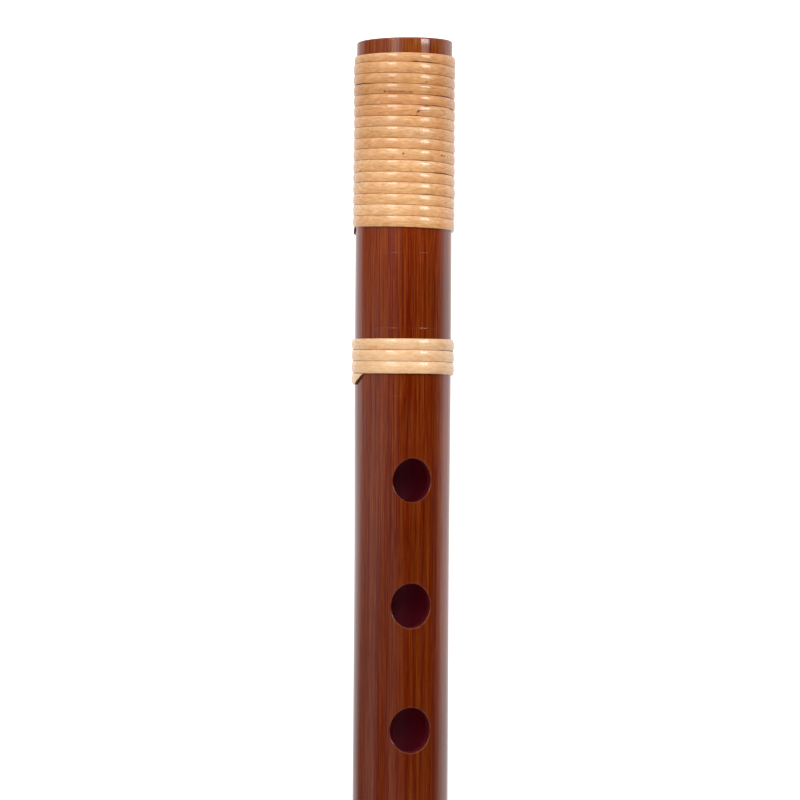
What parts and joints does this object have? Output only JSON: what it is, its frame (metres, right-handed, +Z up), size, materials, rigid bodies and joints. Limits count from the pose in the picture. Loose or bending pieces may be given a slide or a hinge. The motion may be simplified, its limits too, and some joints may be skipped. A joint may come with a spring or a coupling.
{
  "type": "transverse bamboo flute",
  "caption": "Side-blown bamboo flute in brown lacquer, with a row of oval finger holes, a mouth hole, and flat rattan windings at both ends.",
  "frame": {"origin": "middle of the flute's length, on the surface that it lies on, straight below the bore's axis", "axes": "+X along the bore from the foot end to the head end, +Z up through the middle of the finger holes and the mouth hole"},
  "size_m": [0.48, 0.0212, 0.0211],
  "materials": {
    "lacquered_bamboo": "clear brown lacquer over fine lengthwise grain, glossy outside, dark red lacquer in the bore",
    "rattan": "pale flat rattan strip with its natural glaze",
    "cork": "dull ground cork",
    "wax": "poured beeswax, satin",
    "rolled_paper": "dull rolled paper",
    "lacquered_wood": "dark red-brown lacquer, glossy"
  },
  "bodies": {
    "root": {"bamboo_tube": "lacquered_bamboo", "foot_winding_outer_strip": "rattan", "foot_winding_inner_strip": "rattan", "foot_band": "rattan", "head_band": "rattan", "head_winding": "rattan", "head_stopper": "cork", "wax_seal": "wax", "paper_packing": "rolled_paper", "head_cap": "lacquered_wood"}
  },
  "joints": []
}
